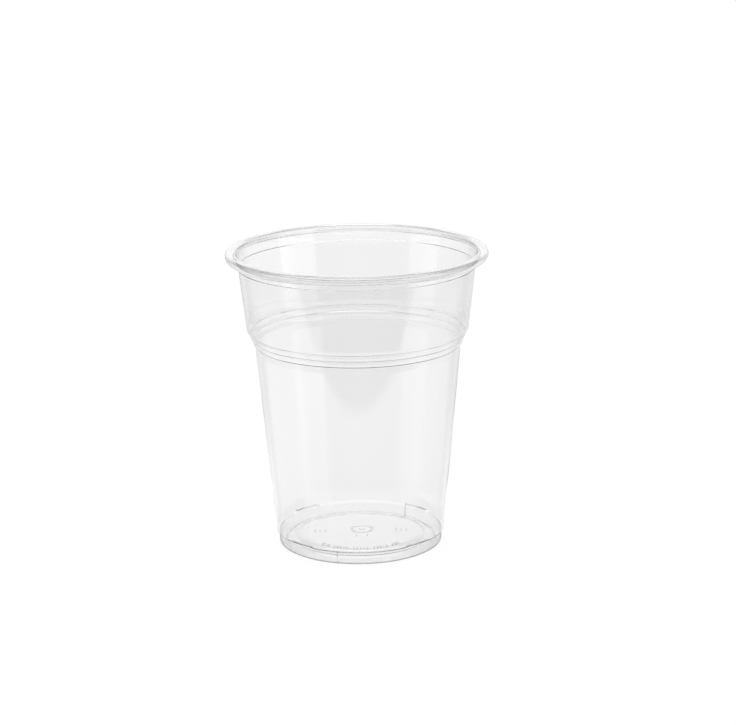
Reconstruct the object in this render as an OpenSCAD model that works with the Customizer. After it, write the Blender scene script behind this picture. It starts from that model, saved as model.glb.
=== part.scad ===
// Clear disposable drinking cup, moulded from one sheet of plastic.
// The sheet is drawn as its outer face, a path from the middle of the floor out and up to the
// rim. The inner face lies one wall inside it, and the rim is the same sheet rolled outward.
// Lengths are in millimetres. The cup stands on z = 0 with its axis on Z.

/* [Rim] */
// Diameter across the outside of the rolled rim
rim_d = 95; // [80:0.5:110]
// Height of the top of the rim above the table
cup_h = 109.8; // [95:0.1:130]
// Thickness of the roll of the rim
curl_d = 3.3; // [2.8:0.1:3.5]
// How far round the sheet is rolled, in degrees from the top of the rim
curl_turn = 280; // [200:5:290]
// From the inside of the mouth to the outside of the rim
rim_overhang = 4; // [3.9:0.1:6]
// Radius on the outer face where the wall turns over into the rim
mouth_fillet = 1.1; // [0.6:0.1:1.4]

/* [Neck and skirt] */
// Height of the flared neck, from the crease under it to the top of the rim
neck_h = 5.7; // [4.5:0.1:8]
// How far the neck flares outward over its height
neck_flare = 1.1; // [0.5:0.1:1.6]
// Height of the wide skirt between the neck crease and the shoulder
skirt_h = 24; // [12:0.5:35]
// Slope of the skirt from upright, in degrees
skirt_taper = 6.4; // [4:0.1:9]
// How far the neck stands out from the skirt at the crease between them
crease_out = 0.35; // [0.2:0.05:0.5]
// How far the crease's little ledge falls towards the skirt
crease_fall = 0.12; // [0.04:0.02:0.3]
// Radius on the edge of that ledge
crease_fillet = 0.35; // [0.15:0.05:0.4]

/* [Shoulder rings] */
// Number of stepped rings in the shoulder
ring_count = 3; // [1:1:5]
// Height from one ring to the next
ring_pitch = 2.37; // [1.8:0.01:3]
// How much smaller in radius each ring is than the one above it
ring_run = 1; // [0.8:0.05:1.4]
// How far the lower edge of each ring is tucked in from its wall
ring_tuck = 0.55; // [0.3:0.05:0.8]
// Height above that edge at which the ring's wall is back out
ring_rise = 0.9; // [0.6:0.1:1.3]
// Width of the narrow ledge under each ring's edge
ring_ledge = 0.5; // [0.3:0.05:0.6]
// How far that ledge falls inward
ring_fall = 0.2; // [0:0.05:0.3]
// Radius of the bulge of each ring's wall
crest_fillet = 2.4; // [1:0.1:3]
// Radius on the lower edge of each ring
ring_fillet = 0.25; // [0.15:0.05:0.4]
// Radius in the valley under a ring and under the body, where the next wall begins
valley_fillet = 0.14; // [0.12:0.01:0.25]

/* [Body and foot] */
// Slope of the tall body from upright, in degrees
body_taper = 5.3; // [3:0.1:8]
// Height of the edge under the body, where the stacking step begins
step_h = 5; // [4.6:0.1:7]
// Height of the sloping stacking step
step_fall = 0.5; // [0.3:0.1:1.2]
// How far the stacking step goes in
step_run = 0.8; // [0.4:0.1:1.2]
// How much the foot narrows from the step to the table
foot_draft = 0.2; // [0:0.05:0.4]
// Radius round the bottom edge of the foot
foot_fillet = 1.3; // [0.8:0.1:1.4]
// Radius on the edge under the body, above the stacking step
step_fillet = 0.8; // [0.3:0.1:1]

/* [Floor] */
// Width of the hollow ring that the cup stands on
stand_w = 2.1; // [2:0.1:3]
// How far the inner side of the standing ring leans inward
stand_lean = 1; // [0.5:0.1:1.5]
// Height of the underside of the floor next to the standing ring
floor_h = 2; // [1.5:0.1:2.5]
// Width of the low band round the floor
floor_band = 2.5; // [1.5:0.1:4]
// How far the middle of the floor is raised above that band
panel_rise = 1.15; // [0.5:0.05:2]
// Width of the slope up to the raised middle
panel_run = 1.8; // [1:0.1:3]
// Radius on the edges of the raised middle
panel_fillet = 2; // [0.5:0.1:2.5]
// Radius on the inner side of the standing ring
stand_fillet = 0.5; // [0.4:0.05:0.6]

/* [Stacking lugs] */
// Number of inward lugs that keep stacked cups from jamming
lug_count = 4; // [2:1:6]
// Width of a lug, in degrees round the cup
lug_angle = 22; // [10:1:35]
// Where the first lug's middle is, in degrees from +X
lug_turn = 44; // [0:1:89]
// Depth of a lug behind the face of the foot
lug_depth = 0.5; // [0.3:0.05:0.7]
// Height of the flat shelf of a lug above the edge under the body
lug_lift = 0.2; // [0.1:0.05:0.5]
// Width of the small mould tick under the stacking step
tick_w = 0.5; // [0.3:0.1:1.5]
// How far the mould tick stands out from the foot
tick_out = 0.5; // [0.3:0.05:0.6]
// How far the mould tick reaches down the foot from the stacking step
tick_fall = 0.3; // [0.15:0.05:0.6]
// Where the mould tick is, in degrees from +X
tick_turn = 253; // [250:1:290]

/* [Sheet thickness] */
// Sheet thickness in the rim
rim_wall = 0.5; // [0.4:0.05:0.6]
// Sheet thickness in the skirt
skirt_wall = 0.36; // [0.3:0.02:0.5]
// Sheet thickness in the body
body_wall = 0.3; // [0.26:0.02:0.44]
// Sheet thickness in the foot
foot_wall = 0.38; // [0.3:0.02:0.5]
// Sheet thickness in the floor
floor_wall = 0.42; // [0.36:0.02:0.6]

/* [Hidden] */
$fn = 240;
// How far the straight pieces of an arc may lie from the true arc
arc_error = 0.012;
// The sharpest radius left on the inner face
least_fillet = 0.12;
// The share of a straight that the fillets at its two ends may take up
fillet_share = 0.98;
// How far a cutting shape reaches past what it cuts
past = 2;
// The colour of the clear sheet
clear_sheet = [0.9, 0.93, 0.94, 0.5];

// Radii and heights of the outer face, worked out from the rim down
rim_r = rim_d / 2;
curl_r = curl_d / 2;
curl_centre = [rim_r - curl_r, cup_h - curl_r];
mouth_r = rim_r - rim_overhang + rim_wall;
neck_r = mouth_r - neck_flare;
neck_z = cup_h - neck_h;
skirt_z = neck_z - skirt_h;
skirt_r = neck_r - skirt_h * tan(skirt_taper);
body_z = skirt_z - ring_count * ring_pitch;
body_r = skirt_r - ring_count * ring_run;
step_r = body_r - (body_z - step_h) * tan(body_taper);
foot_z = step_h - step_fall;
foot_r = step_r - step_run;
base_r = foot_r - foot_draft;
stand_r = base_r - stand_w;
floor_r = stand_r - stand_lean;
band_r = floor_r - floor_band;
panel_r = band_r - panel_run;
panel_h = floor_h + panel_rise;
// Faces of a lug
lug_r = foot_r - lug_depth;
lug_z = step_h + lug_lift;

// Each corner of the outer face is [radius, height, fillet radius, sheet thickness]
floor_corners = [
    [0, panel_h, 0, floor_wall],
    [panel_r, panel_h, panel_fillet, floor_wall],
    [band_r, floor_h, panel_fillet, floor_wall],
    [floor_r, floor_h, stand_fillet, floor_wall],
    [stand_r, 0, stand_fillet, foot_wall],
];
foot_corners = [
    [base_r, 0, foot_fillet, foot_wall],
    [foot_r, foot_z, valley_fillet, foot_wall],
    [step_r, step_h, step_fillet, foot_wall],
    [body_r, body_z, crest_fillet, body_wall],
];
// Each ring has a valley under its ledge, a tucked lower edge and a bulging wall above it; the
// uppermost one is the foot of the skirt and leans with it
ring_corners = [
    for (k = [ring_count - 1:-1:0])
        let (r = skirt_r - k * ring_run, z = skirt_z - k * ring_pitch, edge_r = r - ring_tuck,
             lean = k == 0 ? ring_rise * tan(skirt_taper) : 0,
             wall = body_wall + (skirt_wall - body_wall) * (ring_count - k) / ring_count)
        each [
            [edge_r - ring_ledge, z - ring_fall, valley_fillet, wall],
            [edge_r, z, ring_fillet, wall],
            [r + lean, z + ring_rise, crest_fillet, wall],
        ],
];
mouth_corners = [
    [neck_r, neck_z - crease_fall, valley_fillet, skirt_wall],
    [neck_r + crease_out, neck_z, crease_fillet, skirt_wall],
    [mouth_r, cup_h - rim_wall, mouth_fillet, rim_wall],
    [curl_centre[0], cup_h - rim_wall, 0, rim_wall],
];
outer_corners = concat(floor_corners, foot_corners, ring_corners, mouth_corners);
inner_corners = inner_face(outer_corners);

function unit(v) = v / norm(v);
function leftward(v) = [-v[1], v[0]];
function place(corner) = [corner[0], corner[1]];
function heading(v) = atan2(v[1], v[0]);
function degrees_round(length, radius) = length / radius * 180 / PI;
// Signed angle from one direction to the next, positive to the left
function turn(u, v) = atan2(u[0] * v[1] - u[1] * v[0], u * v);

// Points along an arc from angle a0 to angle a1
function arc(centre, radius, a0, a1) =
    let (piece = 2 * acos(1 - arc_error / radius), n = max(2, ceil(abs(a1 - a0) / piece)))
    [for (i = [0:n]) let (a = a0 + (a1 - a0) * i / n) centre + radius * [cos(a), sin(a)]];

// How the path bends at one of its corners
function bend(corners, i) =
    turn(unit(place(corners[i]) - place(corners[i - 1])),
         unit(place(corners[i + 1]) - place(corners[i])));

// The length that a corner's fillet takes up on each straight that meets there
function reach(corners, i) =
    i == 0 || i == len(corners) - 1 ? 0 : corners[i][2] * tan(abs(bend(corners, i)) / 2);

// How much the fillets at the two ends of a straight shrink where they would not fit on it
function squeeze(corners, i) =
    let (room = fillet_share * norm(place(corners[i + 1]) - place(corners[i])))
    room / max(room, reach(corners, i) + reach(corners, i + 1));

// The points that round off one corner of a path
function round_off(corners, i) =
    let (q = place(corners[i]), u = unit(q - place(corners[i - 1])), turned = bend(corners, i),
         radius = corners[i][2] * min(squeeze(corners, i - 1), squeeze(corners, i)),
         side = sign(turned) * leftward(u), start = q - u * radius * tan(abs(turned) / 2))
    radius == 0 ? [q]
        : arc(start + side * radius, radius, heading(-side), heading(-side) + turned);

// A path through its corners, each rounded by its own fillet
function rounded(corners) =
    let (last = len(corners) - 1)
    [for (i = [0:last]) each (i == 0 || i == last ? [place(corners[i])] : round_off(corners, i))];

// The same path one sheet thickness to its left, with the fillets that keep the sheet even
function inner_face(corners) =
    let (last = len(corners) - 1)
    [for (i = [0:last])
        let (q = place(corners[i]), wall = corners[i][3],
             u = unit(i == 0 ? place(corners[1]) - q : q - place(corners[i - 1])),
             v = i == last ? u : unit(place(corners[i + 1]) - q),
             shift = wall * (leftward(u) + leftward(v)) / (1 + u * v),
             fillet = corners[i][2] - sign(turn(u, v)) * wall)
        [q[0] + shift[0], q[1] + shift[1],
         corners[i][2] == 0 ? 0 : max(least_fillet, fillet), wall]];

function reversed(list) = [for (i = [len(list) - 1:-1:0]) list[i]];

// The rolled end of the sheet, clockwise from the top of the rim
function curl(radius) = arc(curl_centre, radius, 90, 90 - curl_turn);

// The sheet's section from the middle of the floor to the end of the roll
module sheet_section() {
    outer = concat(rounded(outer_corners), curl(curl_r - rim_wall));
    inner = concat(rounded(inner_corners), curl(curl_r));
    polygon(concat(outer, reversed(inner)));
}

// Everything within the outer face of the foot, up to a little above the stacking step
module foot_envelope() {
    top = step_h + past;
    wall_r = step_r + past * tan(body_taper);
    rotate_extrude() polygon(rounded([
        [0, 0, 0], foot_corners[0], foot_corners[1], foot_corners[2], [wall_r, top, 0], [0, top, 0],
    ]));
}

// A block in the place of each lug, from a radius outward and up to a height
module lug_blocks(inner_r, top, extra_angle) {
    span = lug_angle + 2 * extra_angle;
    for (k = [0:lug_count - 1])
        rotate([0, 0, lug_turn + k * 360 / lug_count - span / 2])
            rotate_extrude(angle = span)
                translate([inner_r, -past])
                    square([step_r + past - inner_r, top + past]);
}

// The skin of the lugs on the inside of the cup
module lug_skins() {
    intersection() {
        foot_envelope();
        lug_blocks(lug_r - foot_wall, lug_z + foot_wall, degrees_round(foot_wall, lug_r));
    }
}

// The small upright mark that the mould leaves under the stacking step: it fills the corner
// there and is rooted in the middle of the sheet
module mould_tick() {
    root_r = foot_r - foot_wall / 2;
    root_z = foot_z + foot_wall / 2;
    rotate([0, 0, tick_turn])
        rotate_extrude(angle = degrees_round(tick_w, foot_r))
            polygon([
                [root_r, foot_z - tick_fall],
                [foot_r, foot_z - tick_fall],
                [foot_r + tick_out, foot_z],
                [foot_r + tick_out, root_z + step_fall * tick_out / step_run],
                [root_r, root_z],
            ]);
}

module cup() {
    color(clear_sheet)
        difference() {
            union() {
                rotate_extrude() sheet_section();
                lug_skins();
                mould_tick();
            }
            lug_blocks(lug_r, lug_z, 0);
        }
}

cup();
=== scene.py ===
import math
import bpy
from mathutils import Matrix, Vector
from mathutils.geometry import delaunay_2d_cdt


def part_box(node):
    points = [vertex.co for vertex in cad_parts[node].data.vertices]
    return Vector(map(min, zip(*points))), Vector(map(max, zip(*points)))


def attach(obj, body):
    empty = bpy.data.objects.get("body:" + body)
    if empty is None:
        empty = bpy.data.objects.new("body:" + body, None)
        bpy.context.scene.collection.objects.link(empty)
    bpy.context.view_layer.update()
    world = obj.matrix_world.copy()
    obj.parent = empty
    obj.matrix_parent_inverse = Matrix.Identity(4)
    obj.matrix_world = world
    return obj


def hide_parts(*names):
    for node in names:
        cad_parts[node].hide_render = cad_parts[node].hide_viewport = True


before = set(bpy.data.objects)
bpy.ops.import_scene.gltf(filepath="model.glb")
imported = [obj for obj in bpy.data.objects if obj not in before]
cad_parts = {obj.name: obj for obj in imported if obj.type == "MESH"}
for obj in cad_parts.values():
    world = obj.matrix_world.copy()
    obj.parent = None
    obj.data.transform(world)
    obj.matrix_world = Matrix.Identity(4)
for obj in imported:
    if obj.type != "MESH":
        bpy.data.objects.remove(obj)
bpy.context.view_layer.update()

cupLow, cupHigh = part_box("cup")
print("frame loaded, cup box", tuple(cupLow), tuple(cupHigh))

# the sheet's section, in metres and degrees, from the rim down; rim and height come from the frame
sheet = {
    "rimRadius": cupHigh.x,
    "height": cupHigh.z,
    "curl": 0.0033,             # thickness of the rolled rim
    "curlTurn": 280,            # how far the sheet turns in it
    "rimOverhang": 0.004,       # inside of the mouth to the outside of the rim
    "mouthFillet": 0.0011,
    "neck": 0.0057,             # top of the rim down to the crease
    "neckFlare": 0.0011,
    "creaseStep": 0.00035,      # width and fall of the ledge under the neck
    "creaseFall": 0.00012,
    "creaseFillet": 0.00035,
    "skirt": 0.0240,            # height of the skirt
    "skirtTaper": 6.4,
    "ringCount": 3,             # stepped rings of the shoulder
    "ringPitch": 0.00237,
    "ringRun": 0.001,           # how much narrower each ring is than the one above it
    "ringTuck": 0.00055,        # how far a ring's lower edge lies inside its wall
    "ringRise": 0.0009,         # height over which the wall comes back out
    "ringLedge": 0.0005,        # width and fall of the ledge under that edge
    "ringFall": 0.0002,
    "crestFillet": 0.0024,      # the rings' round walls, their lower edges and the valleys between them
    "ringFillet": 0.00025,
    "valleyFillet": 0.00014,
    "bodyTaper": 5.3,
    "step": 0.0050,             # height of the stacking step's upper edge
    "stepFall": 0.0005,
    "stepRun": 0.0008,
    "stepFillet": 0.0008,
    "footDraft": 0.0002,
    "footFillet": 0.0013,
    "standWidth": 0.0021,       # hollow ring that the cup stands on
    "standLean": 0.001,
    "standFillet": 0.0005,
    "floorFillet": 0.0016,      # where the floor turns down into the hollow ring
    "floor": 0.002,             # height of the floor's outer band
    "floorBand": 0.0025,
    "panelRise": 0.00115,       # the raised middle of the floor
    "panelRun": 0.0018,
    "panelFillet": 0.0035,
    "rimWall": 0.0005,          # thickness of the sheet from the rim to the floor
    "skirtWall": 0.00036,
    "bodyWall": 0.0003,
    "footWall": 0.00038,
    "floorWall": 0.00042,
    "leastFillet": 0.00012,     # of the inner face
    "filletPieces": 6,
    "curlPieces": 32,
    "columns": 216,             # upright lines of the mesh round the cup
    "leastGap": 0.8,            # between an even column and a close one, as a share of the close ones' gap
    "slopeStep": 0.01,          # degrees to each side over which a lug's slope is measured
    "leastRadius": 0.000001,    # keeps the normals whole on the axis
}

lugs = {
    "count": 4,
    "middle": 44,               # degrees from +X to the first one's middle
    "angle": 22,
    "depth": 0.0005,
    "lift": 0.0002,             # from the stacking step up to the shelf
    "baseFillet": 0.001,
    "shelfFillet": 0.0003,
    # degrees over which each lug's two upright edges round off, right-hand one first, seen from the axis
    "edges": ((5.0, 1.0), (5.0, 4.0), (6.0, 6.0), (6.0, 6.0)),
    "edgeColumns": 7,
}

mouldTick = {
    "middle": 253.5,            # degrees from +X
    "angle": 0.95,
    "out": 0.0005,
    "fall": 0.0017,             # its height under the stacking step
    "edge": 0.35,
    "edgeColumns": 3,
}


def runPerHeight(taper):
    # sideways run for each unit of height
    return math.tan(math.radians(taper))


def addSizes(s):
    # radii and heights that follow from the sizes above, from the mouth down to the floor
    s["mouthRadius"] = s["rimRadius"] - s["rimOverhang"] + s["rimWall"]
    s["underRim"] = s["height"] - s["rimWall"]
    s["neckRadius"] = s["mouthRadius"] - s["neckFlare"]
    s["neckHeight"] = s["height"] - s["neck"]
    s["skirtHeight"] = s["neckHeight"] - s["skirt"]
    s["skirtRadius"] = s["neckRadius"] - s["skirt"] * runPerHeight(s["skirtTaper"])
    s["bodyHeight"] = s["skirtHeight"] - s["ringCount"] * s["ringPitch"]
    s["bodyRadius"] = s["skirtRadius"] - s["ringCount"] * s["ringRun"]
    s["stepRadius"] = s["bodyRadius"] - (s["bodyHeight"] - s["step"]) * runPerHeight(s["bodyTaper"])
    s["footHeight"] = s["step"] - s["stepFall"]
    s["footRadius"] = s["stepRadius"] - s["stepRun"]
    s["baseRadius"] = s["footRadius"] - s["footDraft"]
    s["standRadius"] = s["baseRadius"] - s["standWidth"]
    s["floorRadius"] = s["standRadius"] - s["standLean"]
    s["bandRadius"] = s["floorRadius"] - s["floorBand"]
    s["panelRadius"] = s["bandRadius"] - s["panelRun"]
    s["panelHeight"] = s["floor"] + s["panelRise"]


# the sheet's outer face as corners (radius, height, fillet, wall), from the floor's middle up to the rim
def floorCorners():
    s = sheet
    return [
        (0, s["panelHeight"], 0, s["floorWall"]),
        (s["panelRadius"], s["panelHeight"], s["panelFillet"], s["floorWall"]),
        (s["bandRadius"], s["floor"], s["panelFillet"], s["floorWall"]),
        (s["floorRadius"], s["floor"], s["floorFillet"], s["floorWall"]),
        (s["standRadius"], 0, s["standFillet"], s["footWall"]),
    ]


def footCorners(fall, out):
    # the foot and the step above it; from fall below the step up, the foot stands out by the amount out
    s = sheet
    belowHeight = s["footHeight"] - fall
    belowRadius = s["baseRadius"] + s["footDraft"] * belowHeight / s["footHeight"]
    return [
        (s["baseRadius"], 0, s["footFillet"], s["footWall"]),
        (belowRadius + out, belowHeight, 0, s["footWall"]),
        (s["footRadius"] + out, s["footHeight"], s["valleyFillet"], s["footWall"]),
        (s["stepRadius"], s["step"], s["stepFillet"], s["footWall"]),
    ]


def lugCorners(fall):
    # the same stretch where it is drawn in to a lug, with the lug's flat shelf at its top
    s = sheet
    lugRadius = s["footRadius"] - lugs["depth"]
    shelf = s["step"] + lugs["lift"]
    shelfRadius = s["stepRadius"] + (shelf - s["step"]) * runPerHeight(s["bodyTaper"])
    return [
        (lugRadius, 0, lugs["baseFillet"], s["footWall"]),
        (lugRadius, s["footHeight"] - fall, 0, s["footWall"]),
        (lugRadius, shelf, lugs["shelfFillet"], s["footWall"]),
        (shelfRadius, shelf, lugs["shelfFillet"], s["footWall"]),
    ]


def shoulderCorners():
    # the top of the body, then the rings from the lowest up: ledge, lower edge and round wall of each
    s = sheet
    corners = [(s["bodyRadius"], s["bodyHeight"], s["crestFillet"], s["bodyWall"])]
    for k in range(s["ringCount"] - 1, -1, -1):
        z = s["skirtHeight"] - k * s["ringPitch"]
        r = s["skirtRadius"] - k * s["ringRun"]
        wall = s["bodyWall"] + (s["skirtWall"] - s["bodyWall"]) * (s["ringCount"] - k) / s["ringCount"]
        edge = r - s["ringTuck"]
        # the uppermost ring is the foot of the skirt and leans with it
        lean = s["ringRise"] * runPerHeight(s["skirtTaper"]) if k == 0 else 0
        corners += [
            (edge - s["ringLedge"], z - s["ringFall"], s["valleyFillet"], wall),
            (edge, z, s["ringFillet"], wall),
            (r + lean, z + s["ringRise"], s["crestFillet"], wall),
        ]
    return corners


def rimCorners():
    # the crease, the neck and the mouth, up to where the rolled rim begins
    s = sheet
    return [
        (s["neckRadius"], s["neckHeight"] - s["creaseFall"], s["valleyFillet"], s["skirtWall"]),
        (s["neckRadius"] + s["creaseStep"], s["neckHeight"], s["creaseFillet"], s["skirtWall"]),
        (s["mouthRadius"], s["underRim"], s["mouthFillet"], s["rimWall"]),
        (s["rimRadius"] - s["curl"] / 2, s["underRim"], 0, s["rimWall"]),
    ]


def outerCorners(kind):
    # kind is plain, lug or tick: all three have the same corners in the same order
    fall = sheet["valleyFillet"] * 2
    if kind == "lug":
        foot = lugCorners(fall)
    elif kind == "tick":
        foot = footCorners(mouldTick["fall"], mouldTick["out"])
    else:
        foot = footCorners(fall, 0)
    return floorCorners() + foot + shoulderCorners() + rimCorners()


def unit(v):
    length = math.hypot(*v)
    return (v[0] / length, v[1] / length)


def arcPoints(centre, radius, startAngle, bend, pieces):
    # points with the direction of travel at each: (r, z, direction r, direction z)
    points = []
    way = 1 if bend > 0 else -1
    for i in range(pieces + 1):
        a = math.radians(startAngle + bend * i / pieces)
        points.append((centre[0] + radius * math.cos(a), centre[1] + radius * math.sin(a),
                       -way * math.sin(a), way * math.cos(a)))
    return points


def roundOff(before, corner, after, pieces):
    u = unit((corner[0] - before[0], corner[1] - before[1]))
    v = unit((after[0] - corner[0], after[1] - corner[1]))
    fillet = corner[2]
    if fillet == 0:
        return [(corner[0], corner[1], *unit((u[0] + v[0], u[1] + v[1])))]
    bend = math.atan2(u[0] * v[1] - u[1] * v[0], u[0] * v[0] + u[1] * v[1])
    way = 1 if bend > 0 else -1
    side = (-u[1] * way, u[0] * way)
    back = fillet * math.tan(abs(bend) / 2)
    centre = (corner[0] - u[0] * back + side[0] * fillet, corner[1] - u[1] * back + side[1] * fillet)
    startAngle = math.degrees(math.atan2(-side[1], -side[0]))
    return arcPoints(centre, fillet, startAngle, math.degrees(bend), pieces)


def roundedPath(corners, pieces):
    # the last corner is left to the rolled rim, whose arc begins there
    first, second = corners[:2]
    points = [(first[0], first[1], *unit((second[0] - first[0], second[1] - first[1])))]
    for before, corner, after in zip(corners, corners[1:], corners[2:]):
        points += roundOff(before, corner, after, pieces)
    return points


def innerCorners(corners):
    # the same corners one sheet thickness to the left of the way from the floor to the rim
    inner = []
    for i, (r, z, fillet, wall) in enumerate(corners):
        before = corners[max(i - 1, 0)]
        after = corners[min(i + 1, len(corners) - 1)]
        u = unit((r - before[0], z - before[1])) if i > 0 else unit((after[0] - r, after[1] - z))
        v = unit((after[0] - r, after[1] - z)) if i < len(corners) - 1 else u
        share = wall / (1 + u[0] * v[0] + u[1] * v[1])
        turn = u[0] * v[1] - u[1] * v[0]
        way = (turn > 0) - (turn < 0)
        newFillet = 0 if fillet == 0 else max(sheet["leastFillet"], fillet - way * wall)
        inner.append((r - share * (u[1] + v[1]), z + share * (u[0] + v[0]), newFillet, wall))
    return inner


def sectionLoop(kind):
    # once round the sheet's section: out along the outer face, round the rolled edge, back inside;
    # the second value is the last row of the outer face, where the sheet's cut edge begins
    s = sheet
    curlRadius = s["curl"] / 2
    curlCentre = (s["rimRadius"] - curlRadius, s["height"] - curlRadius)
    outer = outerCorners(kind)
    # the tick is on the outer face alone
    inner = innerCorners(outerCorners("plain") if kind == "tick" else outer)
    outerPath = roundedPath(outer, s["filletPieces"])
    outerPath += arcPoints(curlCentre, curlRadius - s["rimWall"], 90, -s["curlTurn"], s["curlPieces"])
    innerPath = roundedPath(inner, s["filletPieces"])
    innerPath += arcPoints(curlCentre, curlRadius, 90, -s["curlTurn"], s["curlPieces"])
    back = [(r, z, -dr, -dz) for r, z, dr, dz in reversed(innerPath)]
    return outerPath + back, len(outerPath) - 1


def smoothStep(t):
    t = min(max(t, 0), 1)
    return t * t * (3 - 2 * t)


def turnBetween(angle, other):
    # degrees from the other angle to this one, from -180 to 180
    return (angle - other + 180) % 360 - 180


def bandShare(angle, middle, width, edges):
    # 1 inside a band of angles, 0 outside, easing over its two edges; angles in degrees
    away = turnBetween(angle, middle)
    edge = edges[0] if away < 0 else edges[1]
    return smoothStep((width / 2 + edge / 2 - abs(away)) / edge)


def lugMiddle(k):
    return lugs["middle"] + k * 360 / lugs["count"]


def lugShare(angle):
    return max(bandShare(angle, lugMiddle(k), lugs["angle"], lugs["edges"][k]) for k in range(lugs["count"]))


def tickShare(angle):
    return bandShare(angle, mouldTick["middle"], mouldTick["angle"], (mouldTick["edge"], mouldTick["edge"]))


def closeAngles(middle, edge, pieces):
    # columns across one edge that eases off round the angle middle
    return [(middle + edge * (i / pieces - 0.5)) % 360 for i in range(pieces + 1)]


def columnAngles():
    # even columns, and closer ones over the edges of the lugs and the tick
    even = [360 * i / sheet["columns"] for i in range(sheet["columns"])]
    close = []
    for k in range(lugs["count"]):
        for side, edge in zip((-1, 1), lugs["edges"][k]):
            close += closeAngles(lugMiddle(k) + side * lugs["angle"] / 2, edge, lugs["edgeColumns"])
    for side in (-1, 1):
        close += closeAngles(mouldTick["middle"] + side * mouldTick["angle"] / 2,
                             mouldTick["edge"], mouldTick["edgeColumns"])
    least = min(min(pair) for pair in lugs["edges"]) / lugs["edgeColumns"] * sheet["leastGap"]
    kept = [a for a in even if all(abs(turnBetween(a, b)) > least for b in close)]
    return sorted(set(kept + close))


def columnPoints(loops, angle):
    # every point of the section at one angle, with its outward normal
    share = {"plain": 1.0, "lug": lugShare(angle), "tick": tickShare(angle)}
    share["plain"] = 1 - share["lug"] - share["tick"]
    step = sheet["slopeStep"]
    slope = {kind: (f(angle + step) - f(angle - step)) / math.radians(2 * step)
             for kind, f in (("lug", lugShare), ("tick", tickShare))}
    slope["plain"] = -slope["lug"] - slope["tick"]
    a = math.radians(angle)
    out, along = Vector((math.cos(a), math.sin(a), 0)), Vector((-math.sin(a), math.cos(a), 0))
    points = []
    for versions in zip(*(loops[kind] for kind in share)):
        r, z, dr, dz = (sum(share[k] * p[i] for k, p in zip(share, versions)) for i in range(4))
        driftOut, driftUp = (sum(slope[k] * p[i] for k, p in zip(share, versions)) for i in range(2))
        upward = out * dr + Vector((0, 0, dz))
        around = along * max(r, sheet["leastRadius"]) + out * driftOut + Vector((0, 0, driftUp))
        normal = around.cross(upward).normalized()
        points.append((out * r + Vector((0, 0, z)), normal))
    return points


# plain raised marks under the floor, where such cups carry their moulder's signs; metres and degrees
floorMarks = {
    "height": 0.00036,
    "side": 0.00014,            # how far a mark's sides slope
    "stroke": 0.00055,
    "ringRadius": 0.0042,       # a ring with a pip in its middle
    "ringPlace": (0.0005, 0.0014),
    "ringSides": 36,
    "pipRadius": 0.0010,
    "pipSides": 12,
    "underRing": -0.0054,       # two short bars in front of the ring
    "underRingBar": 0.0020,
    "arcRadius": 0.0200,        # a row of bars round the front of the floor
    "arcFrom": -42,
    "arcTo": 42,
    "arcStep": 3.5,
    "arcBars": (0.0018, 0.0009, 0.0018, 0.0, 0.0013, 0.0018),
    "sidePlace": 0.0150,        # three small bars on each side
    "sidePitch": 0.0019,
    "sideBars": (0.0030, 0.0016, 0.0030),
    "barEnds": 5,               # pieces in the round end of a bar
    "joinWithin": 1e-9,         # points closer than this become one
}


def circleOutline(middle, radius, sides):
    return [(middle[0] + radius * math.cos(2 * math.pi * i / sides),
             middle[1] + radius * math.sin(2 * math.pi * i / sides)) for i in range(sides)]


def barOutline(middle, length, width, angle):
    # a bar with round ends along the direction of angle
    outline = []
    reach = max(length - width, 0) / 2
    turned = math.radians(angle)
    for end in (0, 180):
        for i in range(floorMarks["barEnds"] + 1):
            local = math.radians(end - 90 + 180 * i / floorMarks["barEnds"])
            x = math.cos(math.radians(end)) * reach + width / 2 * math.cos(local)
            y = width / 2 * math.sin(local)
            outline.append((middle[0] + x * math.cos(turned) - y * math.sin(turned),
                            middle[1] + x * math.sin(turned) + y * math.cos(turned)))
    return outline


def markOutlines():
    # pairs of outline and height: each mark has its foot on the floor and a smaller raised top
    m = floorMarks
    outlines = []

    def raised(low, high):
        outlines.append((low, 0))
        outlines.append((high, m["height"]))

    ring, stroke, side = m["ringRadius"], m["stroke"], m["side"]
    raised(circleOutline(m["ringPlace"], ring, m["ringSides"]),
           circleOutline(m["ringPlace"], ring - side, m["ringSides"]))
    raised(circleOutline(m["ringPlace"], ring - stroke - side, m["ringSides"]),
           circleOutline(m["ringPlace"], ring - stroke, m["ringSides"]))
    raised(circleOutline(m["ringPlace"], m["pipRadius"], m["pipSides"]),
           circleOutline(m["ringPlace"], m["pipRadius"] - side, m["pipSides"]))

    def bar(middle, length, angle):
        raised(barOutline(middle, length, stroke, angle),
               barOutline(middle, length - 2 * side, stroke - 2 * side, angle))

    for x in (-1, 1):
        bar((m["ringPlace"][0] + x * m["underRingBar"], m["underRing"]), m["underRingBar"], 90)
    count = round((m["arcTo"] - m["arcFrom"]) / m["arcStep"])
    for i in range(count + 1):
        length = m["arcBars"][i % len(m["arcBars"])]
        angle = m["arcFrom"] + i * m["arcStep"] - 90
        if length > 0:
            a = math.radians(angle)
            bar((m["arcRadius"] * math.cos(a), m["arcRadius"] * math.sin(a)), length, angle)
    for x in (-1, 1):
        for i, length in enumerate(m["sideBars"]):
            bar((x * m["sidePlace"] + (i - 1) * m["sidePitch"], 0), length, 90)
    return outlines


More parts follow.
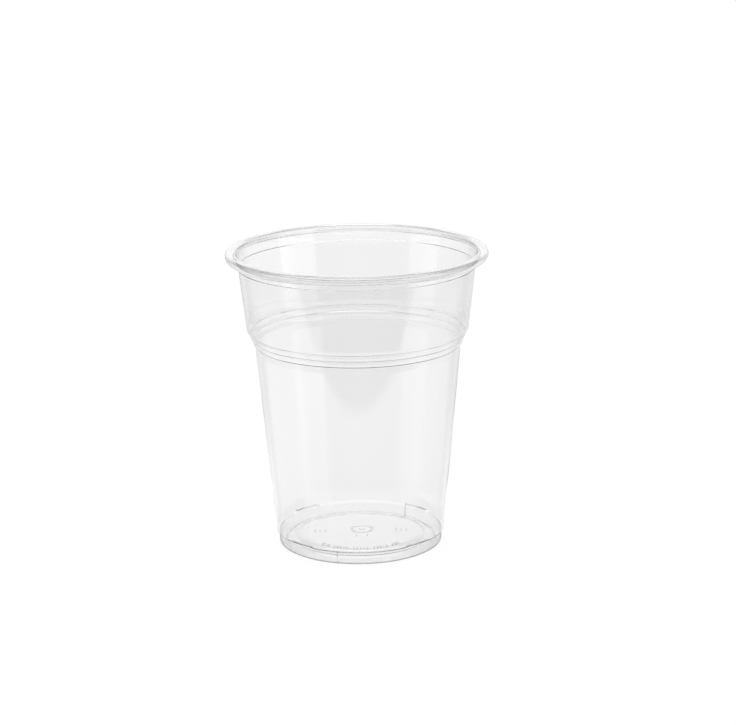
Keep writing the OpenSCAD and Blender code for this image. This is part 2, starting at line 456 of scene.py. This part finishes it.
def markedDisc(ring):
    # triangles over the disc inside a ring of points, raised where the marks are
    points = [Vector((p.x, p.y)) for p in ring]
    heights = [0.0] * len(ring)
    edges = [(i, (i + 1) % len(ring)) for i in range(len(ring))]
    for outline, height in markOutlines():
        first = len(points)
        points += [Vector(p) for p in outline]
        heights += [height] * len(outline)
        edges += [(first + i, first + (i + 1) % len(outline)) for i in range(len(outline))]
    wholeDisc, withSources = 0, True
    placed, _, triangles, sources, _, _ = delaunay_2d_cdt(
        points, edges, [], wholeDisc, floorMarks["joinWithin"], withSources)
    newHeights = [max((heights[k] for k in source), default=0.0) for source in sources]
    return placed, newHeights, triangles, sources


def addFloorUnderside(points, normals, faces, columnCount):
    # the marked disc under the floor, whose outer edge is the first ring of points
    ring = points[:columnCount]
    placed, heights, triangles, sources = markedDisc(ring)
    place = []
    for p, height, source in zip(placed, heights, sources):
        onRing = [k for k in source if k < columnCount]
        if onRing:
            place.append(onRing[0])
        else:
            place.append(len(points))
            points.append(Vector((p.x, p.y, ring[0].z - height)))
            normals.append(Vector((0, 0, -1)))
    faces += [(place[c], place[b], place[a]) for a, b, c in triangles]


def addFloorTop(points, normals, faces, columnCount, first, height):
    # the plain top of the floor, a fan inside the ring of points that starts at first
    middle = len(points)
    points.append(Vector((0, 0, height)))
    normals.append(Vector((0, 0, 1)))
    faces += [(first + j, first + (j + 1) % columnCount, middle) for j in range(columnCount)]


def cupMesh():
    addSizes(sheet)
    loops = {}
    for kind in ("plain", "lug", "tick"):
        loops[kind], cutRow = sectionLoop(kind)
    columns = [columnPoints(loops, angle) for angle in columnAngles()]
    columnCount = len(columns)
    # the first and the last row lie on the axis, so the rings are the rows between them
    rings = range(1, len(columns[0]) - 1)
    points = [column[row][0] for row in rings for column in columns]
    normals = [column[row][1] for row in rings for column in columns]
    faces, flatFaces = [], []
    for row in rings[:-1]:
        low = (row - 1) * columnCount
        high = low + columnCount
        for j in range(columnCount):
            k = (j + 1) % columnCount
            faces.append((low + j, low + k, high + k, high + j))
            flatFaces.append(row == cutRow)
    lastRing = len(points) - columnCount
    addFloorUnderside(points, normals, faces, columnCount)
    addFloorTop(points, normals, faces, columnCount, lastRing, columns[0][-1][0].z)
    flatFaces += [True] * (len(faces) - len(flatFaces))

    mesh = bpy.data.meshes.new("cupSheet")
    mesh.from_pydata(points, [], faces)
    mesh.polygons.foreach_set("use_smooth", [True] * len(faces))
    cornerNormals = []
    for polygon, flat in zip(mesh.polygons, flatFaces):
        cornerNormals += [polygon.normal.copy() if flat else normals[v] for v in polygon.vertices]
    mesh.normals_split_custom_set(cornerNormals)
    mesh.validate()
    print("cup mesh:", len(points), "points,", len(faces), "faces,", columnCount, "columns")
    return mesh


def newNode(tree, kind, inputs, **settings):
    # inputs are given by name or number; a socket given as a value is linked
    node = tree.nodes.new(kind)
    for name, value in settings.items():
        setattr(node, name, value)
    for key, value in inputs.items():
        if isinstance(value, bpy.types.NodeSocket):
            tree.links.new(value, node.inputs[key])
        else:
            node.inputs[key].default_value = value
    return node


def mathNode(tree, operation, first, second=0.0):
    return newNode(tree, "ShaderNodeMath", {0: first, 1: second}, operation=operation).outputs[0]


def vectorNode(tree, operation, inputs):
    return newNode(tree, "ShaderNodeVectorMath", inputs, operation=operation).outputs[0]


def rampNode(tree, value, low, high, first=0.0, last=1.0):
    # eases from first to last as the value goes from low to high
    return newNode(tree, "ShaderNodeMapRange", {
        "Value": value, "From Min": low, "From Max": high, "To Min": first, "To Max": last},
        interpolation_type="SMOOTHSTEP").outputs["Result"]


def mixShader(tree, share, first, second):
    return newNode(tree, "ShaderNodeMixShader", {0: share, 1: first, 2: second}).outputs[0]


sheetFinish = {
    "waveSize": 0.016,          # broad waves that the mould leaves in the walls
    "waveDepth": 0.000035,
    "waveDetail": 1.0,
    "waveRoughness": 0.4,
    "streaksRound": 9.0,        # faint upright draw lines, as noise round the axis
    "streakDepth": 0.000004,
    "streakDetail": 3.0,
    "hazeSize": 0.02,           # patches of the faint haze
    "hazeDetail": 2.0,
    "thinTop": 0.074,           # height at which the wall starts to thicken towards the skirt
    "thickFrom": 0.084,
    "rimFrom": 0.1030,          # and between which the neck and the rim turn clear again
    "rimClear": 0.1046,
    "footFrom": 0.004,          # the floor and foot are tinted darker too, partly for their thicker sheet and partly as painted shade, easing off between these heights
    "footClear": 0.022,
    "footShare": 0.85,
}


def sheetEffect():
    # faint waves, upright draw lines, haze and thickness of a moulded sheet, with painted shade over its
    # floor and foot
    group = bpy.data.node_groups.new("drawnSheet", "ShaderNodeTree")
    for name, value in (("Wave size", "waveSize"), ("Wave depth", "waveDepth"),
                        ("Streaks round", "streaksRound"), ("Streak depth", "streakDepth"),
                        ("Haze size", "hazeSize"), ("Thin top", "thinTop"), ("Thick from", "thickFrom"),
                        ("Rim from", "rimFrom"), ("Rim clear", "rimClear"),
                        ("Foot from", "footFrom"), ("Foot clear", "footClear"), ("Foot share", "footShare")):
        socket = group.interface.new_socket(name, in_out="INPUT", socket_type="NodeSocketFloat")
        socket.default_value = sheetFinish[value]
    for name in ("Height", "Haze", "Thickness"):
        group.interface.new_socket(name, in_out="OUTPUT", socket_type="NodeSocketFloat")
    given = group.nodes.new("NodeGroupInput").outputs
    result = group.nodes.new("NodeGroupOutput").inputs
    place = group.nodes.new("ShaderNodeTexCoord").outputs["Object"]

    waves = newNode(group, "ShaderNodeTexNoise", {
        "Vector": place, "Detail": sheetFinish["waveDetail"], "Roughness": sheetFinish["waveRoughness"],
        "Scale": mathNode(group, "DIVIDE", 1.0, given["Wave size"])}).outputs["Fac"]
    level = vectorNode(group, "MULTIPLY", {0: place, 1: (1, 1, 0)})
    around = vectorNode(group, "SCALE", {0: vectorNode(group, "NORMALIZE", {0: level}),
                                         "Scale": given["Streaks round"]})
    streaks = newNode(group, "ShaderNodeTexNoise", {
        "Vector": around, "Detail": sheetFinish["streakDetail"], "Scale": 1.0}).outputs["Fac"]
    haze = newNode(group, "ShaderNodeTexNoise", {
        "Vector": place, "Detail": sheetFinish["hazeDetail"],
        "Scale": mathNode(group, "DIVIDE", 1.0, given["Haze size"])}).outputs["Fac"]
    height = mathNode(group, "ADD", mathNode(group, "MULTIPLY", waves, given["Wave depth"]),
                      mathNode(group, "MULTIPLY", streaks, given["Streak depth"]))

    upward = newNode(group, "ShaderNodeSeparateXYZ", {0: place}).outputs["Z"]
    skirt = mathNode(group, "MULTIPLY", rampNode(group, upward, given["Thin top"], given["Thick from"]),
                     rampNode(group, upward, given["Rim from"], given["Rim clear"], 1.0, 0.0))
    # painted shade in part: the floor and foot are tinted darker, easing off upward
    foot = rampNode(group, upward, given["Foot from"], given["Foot clear"], given["Foot share"], 0.0)
    group.links.new(height, result["Height"])
    group.links.new(haze, result["Haze"])
    group.links.new(mathNode(group, "ADD", skirt, foot), result["Thickness"])
    return group


clearPlastic = {
    "tintThin": (0.960, 0.960, 0.960, 1),
    "tintThickAndShaded": (0.932, 0.932, 0.932, 1),
    "roughLow": 0.015,
    "roughHigh": 0.05,
    "ior": 1.49,
    "shadow": (0.986, 0.986, 0.986, 1),     # share of soft light that each face lets through
}


def clearMaterial(effect):
    material = bpy.data.materials.new("clearPolypropylene")
    material.use_nodes = True
    tree = material.node_tree
    tree.nodes.clear()
    wave = newNode(tree, "ShaderNodeGroup", {}, node_tree=effect).outputs
    bump = newNode(tree, "ShaderNodeBump", {"Strength": 1.0, "Distance": 1.0, "Height": wave["Height"]})
    rough = newNode(tree, "ShaderNodeMapRange", {
        "Value": wave["Haze"], "To Min": clearPlastic["roughLow"], "To Max": clearPlastic["roughHigh"]})
    # the tint darkens thicker sheet, and as painted shade the floor and foot
    # a colour mix takes its two colours at 6 and 7 and gives the result at 2
    tint = newNode(tree, "ShaderNodeMix", {
        0: wave["Thickness"], 6: clearPlastic["tintThin"], 7: clearPlastic["tintThickAndShaded"]}, data_type="RGBA")
    plastic = newNode(tree, "ShaderNodeBsdfPrincipled", {
        "Base Color": tint.outputs[2], "Roughness": rough.outputs["Result"], "IOR": clearPlastic["ior"],
        "Transmission Weight": 1.0, "Normal": bump.outputs["Normal"]}).outputs[0]
    light = newNode(tree, "ShaderNodeBsdfTransparent", {"Color": clearPlastic["shadow"]}).outputs[0]
    path = tree.nodes.new("ShaderNodeLightPath").outputs
    lit = mixShader(tree, path["Is Shadow Ray"], plastic, light)
    softlyLit = mixShader(tree, path["Is Diffuse Ray"], lit, light)
    newNode(tree, "ShaderNodeOutputMaterial", {"Surface": softlyLit})
    return material


def makeCup():
    mesh = cupMesh()
    cup = bpy.data.objects.new("cupSheet", mesh)
    bpy.context.scene.collection.objects.link(cup)
    mesh.materials.append(clearMaterial(sheetEffect()))
    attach(cup, "root")
    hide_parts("cup")


# the white table and the room, in metres; directions in degrees from the front, to the right and upwards
studio = {
    "floorSize": 6.0,
    "floorDrop": 0.00002,       # keeps the table's top clear of the standing ring
    "floorColour": (0.93, 0.93, 0.93, 1),
    "floorGlow": 0.085,         # brings the open floor up to white
    "tableFront": -0.155,       # in front the plastic mirrors the table only as far as this
    "tableEdge": 0.01,
    "tableHalf": 0.26,          # and this far to each side
    "tableSide": 0.1,
    # painted shade in reflections: light that crossed many faces, and light mirrored more than once, sees
    # the dim room in place of the white table
    "paintedShadeFaces": 3,            # through more faces than this, and beyond this radius, the far wall
    "paintedShadeNear": 0.045,         # mirrors the dim room and not the table
    "paintedShadeAgain": (0.07, 0.22), # radii between which light mirrored more than once does the same
    "paintedShadeBehind": (0.05, 0.15),    # painted shade seen only in reflections: distances behind the cup over which the mirrored table turns greyer
    "paintedShadeBehindLevel": 0.82,
    "paintedShadeFar": (0.5, 0.8),     # and over which that painted shade turns darker still
    "paintedShadeFarLevel": 0.3,
    "paintedFootShadow": (0.030, 0.038),    # painted contact shadow seen only in reflections: radii over which the mirrored table brightens from the foot outward
    "paintedFootShadowLevel": 0.5,
    "background": 1.0,          # level of the white backdrop that the camera sees
    "ambient": 1.0,             # level of the light on the table and the cup
    "overhead": 0.12,           # level of the dim room seen through the plastic, above the white sweep
    "overheadEdge": (4, 14),
    "room": 0.06,               # level of the dim room that the plastic mirrors
    "softboxes": (              # seen mirrored; low and high are the soft edges at its bottom and top
        {"from": 42, "to": 82, "edge": 5, "level": 1.15, "low": (-14, 0), "high": (45, 60)},
        {"from": -88, "to": -54, "edge": 5, "level": 0.85, "low": (-14, 0), "high": (45, 60)},
        {"from": -50, "to": 46, "edge": 10, "level": 1.3, "low": (5, 10), "high": (30, 42)},
        {"from": 70, "to": 145, "edge": 20, "level": 0.8, "low": (-36, -28), "high": (-4, 4)},
        {"from": -145, "to": -70, "edge": 20, "level": 0.5, "low": (-36, -28), "high": (-4, 4)},
    ),
    "topLevel": 1.6,            # the softbox overhead, seen mirrored
    "topEdge": (50, 62),
    "backLevel": 1.0,           # the white backdrop behind the cup, seen mirrored
    "backEdge": (140, 165),
    "backHigh": (24, 32),
    "backAbove": 0.45,          # share of it that is left above those degrees
}


def pastBounces(tree, path, kind, count):
    # 1 for light that was mirrored, or let through, more than count times
    return mathNode(tree, "GREATER_THAN", path[kind + " Depth"], count + 0.5)


def greatestOf(tree, first, *others):
    for other in others:
        first = mathNode(tree, "MAXIMUM", first, other)
    return first


def tableMaterial():
    material = bpy.data.materials.new("whiteTable")
    material.use_nodes = True
    tree = material.node_tree
    tree.nodes.clear()
    path = tree.nodes.new("ShaderNodeLightPath").outputs
    position = tree.nodes.new("ShaderNodeNewGeometry").outputs["Position"]
    place = newNode(tree, "ShaderNodeSeparateXYZ", {0: position}).outputs
    radius = newNode(tree, "ShaderNodeVectorMath", {0: position}, operation="LENGTH").outputs["Value"]
    mirrored = pastBounces(tree, path, "Glossy", 0)

    # where the plastic mirrors the room in place of the table
    front, frontEdge = studio["tableFront"], studio["tableEdge"]
    ahead = rampNode(tree, place["Y"], front - frontEdge, front + frontEdge, 1.0, 0.0)
    aside = rampNode(tree, mathNode(tree, "ABSOLUTE", place["X"]),
                     studio["tableHalf"], studio["tableHalf"] + studio["tableSide"])
    # painted shade in reflections: light that crossed many faces, and light mirrored more than once, sees
    # the dim room and not the table
    paintedShadeDeep = mathNode(tree, "MULTIPLY", pastBounces(tree, path, "Transmission", studio["paintedShadeFaces"]),
                    mathNode(tree, "GREATER_THAN", radius, studio["paintedShadeNear"]))
    band = mathNode(tree, "MULTIPLY", mathNode(tree, "GREATER_THAN", radius, studio["paintedShadeAgain"][0]),
                    mathNode(tree, "LESS_THAN", radius, studio["paintedShadeAgain"][1]))
    again = mathNode(tree, "MULTIPLY", band, pastBounces(tree, path, "Glossy", 1))
    beyond = mathNode(tree, "MULTIPLY", mirrored, greatestOf(tree, ahead, aside, paintedShadeDeep, again))

    # painted shade seen only in reflections: the mirrored table is darker round the foot, as a painted
    # contact shadow, behind the cup and far behind it
    foot = rampNode(tree, radius, *studio["paintedFootShadow"], 1 - studio["paintedFootShadowLevel"], 0.0)
    behind = rampNode(tree, place["Y"], *studio["paintedShadeBehind"], 0.0, 1 - studio["paintedShadeBehindLevel"])
    far = rampNode(tree, place["Y"], *studio["paintedShadeFar"], 0.0, 1 - studio["paintedShadeFarLevel"])
    shade = mathNode(tree, "MULTIPLY", mirrored, greatestOf(tree, foot, behind, far))

    board = newNode(tree, "ShaderNodeBsdfDiffuse", {"Color": studio["floorColour"]}).outputs[0]
    glow = newNode(tree, "ShaderNodeEmission", {"Strength": studio["floorGlow"]}).outputs[0]
    white = newNode(tree, "ShaderNodeAddShader", {0: board, 1: glow}).outputs[0]
    # the painted shade mixes the white table towards this black in reflections
    black = newNode(tree, "ShaderNodeBsdfDiffuse", {"Color": (0, 0, 0, 1)}).outputs[0]
    gone = tree.nodes.new("ShaderNodeBsdfTransparent").outputs[0]
    table = mixShader(tree, beyond, mixShader(tree, shade, white, black), gone)
    newNode(tree, "ShaderNodeOutputMaterial", {"Surface": table})
    return material


def makeFloor():
    half = studio["floorSize"] / 2
    corners = [(-half, -half, 0), (half, -half, 0), (half, half, 0), (-half, half, 0)]
    mesh = bpy.data.meshes.new("studioFloor")
    mesh.from_pydata(corners, [], [(0, 1, 2, 3)])
    mesh.materials.append(tableMaterial())
    floor = bpy.data.objects.new("studioFloor", mesh)
    floor.location.z = -studio["floorDrop"]
    bpy.context.scene.collection.objects.link(floor)


def mirroredRoom(tree, upward, around):
    # what the plastic mirrors: the dim room, the softboxes and the white backdrop behind the cup
    level = mathNode(tree, "MULTIPLY", rampNode(tree, upward, *studio["topEdge"]), studio["topLevel"])
    for box in studio["softboxes"]:
        half = box["edge"] / 2
        width = mathNode(tree, "MULTIPLY", rampNode(tree, around, box["from"] - half, box["from"] + half),
                         rampNode(tree, around, box["to"] - half, box["to"] + half, box["level"], 0.0))
        height = mathNode(tree, "MULTIPLY", rampNode(tree, upward, *box["low"]),
                          rampNode(tree, upward, *box["high"], 1.0, 0.0))
        level = mathNode(tree, "ADD", level, mathNode(tree, "MULTIPLY", width, height))
    fromFront = mathNode(tree, "ABSOLUTE", around)
    backdrop = mathNode(tree, "MULTIPLY",
                        rampNode(tree, upward, *studio["backHigh"], 1.0, studio["backAbove"]),
                        rampNode(tree, fromFront, *studio["backEdge"], 0.0, studio["backLevel"]))
    return mathNode(tree, "ADD", mathNode(tree, "ADD", level, backdrop), studio["room"])


def skyShader(tree, level):
    return newNode(tree, "ShaderNodeBackground", {"Color": (1, 1, 1, 1), "Strength": level}).outputs[0]


def makeWorld():
    world = bpy.data.worlds.new("paleStudio")
    bpy.context.scene.world = world
    world.use_nodes = True
    world.cycles.sampling_method = "NONE"
    tree = world.node_tree
    tree.nodes.clear()
    path = tree.nodes.new("ShaderNodeLightPath").outputs
    direction = tree.nodes.new("ShaderNodeTexCoord").outputs["Generated"]
    way = newNode(tree, "ShaderNodeSeparateXYZ", {0: direction}).outputs
    upward = mathNode(tree, "DEGREES", mathNode(tree, "ARCSINE", way["Z"]))
    frontward = mathNode(tree, "MULTIPLY", way["Y"], -1.0)
    around = mathNode(tree, "DEGREES", mathNode(tree, "ARCTAN2", way["X"], frontward))

    # seen straight the room is white, and through the plastic it is dim overhead;
    # a value mix takes its two values at 2 and 3
    through = rampNode(tree, upward, *studio["overheadEdge"], 1.0, studio["overhead"])
    seen = newNode(tree, "ShaderNodeMix", {
        0: path["Is Camera Ray"], 2: through, 3: studio["background"]}).outputs[0]
    mirrored = mirroredRoom(tree, upward, around)
    shown = mixShader(tree, pastBounces(tree, path, "Glossy", 0),
                      skyShader(tree, seen), skyShader(tree, mirrored))
    lit = mixShader(tree, path["Is Diffuse Ray"], shown, skyShader(tree, studio["ambient"]))
    newNode(tree, "ShaderNodeOutputWorld", {"Surface": lit})


view = {
    "lens": 125.82,             # millimetres, as the sensor's width is
    "sensor": 36,
    "clip": (0.05, 20),
    "distance": 0.937636,       # metres from the point looked at
    "elevation": 14.724,
    "roll": -0.763,
    "target": (0.003558, 0.0, 0.067507),
}


def makeCamera():
    data = bpy.data.cameras.new("photographView")
    data.sensor_width = view["sensor"]
    data.lens = view["lens"]
    data.clip_start, data.clip_end = view["clip"]
    camera = bpy.data.objects.new("photographView", data)
    e, roll = math.radians(view["elevation"]), math.radians(view["roll"])
    back = Vector((0, -math.cos(e), math.sin(e)))
    level, upright = Vector((1, 0, 0)), Vector((0, math.sin(e), math.cos(e)))
    right = level * math.cos(roll) + upright * math.sin(roll)
    up = upright * math.cos(roll) - level * math.sin(roll)
    turn = Matrix((right, up, back)).transposed().to_4x4()
    camera.matrix_world = Matrix.Translation(Vector(view["target"]) + back * view["distance"]) @ turn
    bpy.context.scene.collection.objects.link(camera)
    bpy.context.scene.camera = camera


makeCamera()
print("camera placed")
makeCup()
print("cup made")
makeFloor()
makeWorld()
print("studio made")

scene = bpy.context.scene
scene.view_settings.view_transform = "Standard"
scene.cycles.caustics_reflective = False
scene.cycles.caustics_refractive = False
# light crosses or mirrors in many faces of the thin sheet before it leaves the cup
scene.cycles.max_bounces = 48
scene.cycles.glossy_bounces = 36
scene.cycles.transmission_bounces = 36
scene.cycles.transparent_max_bounces = 24
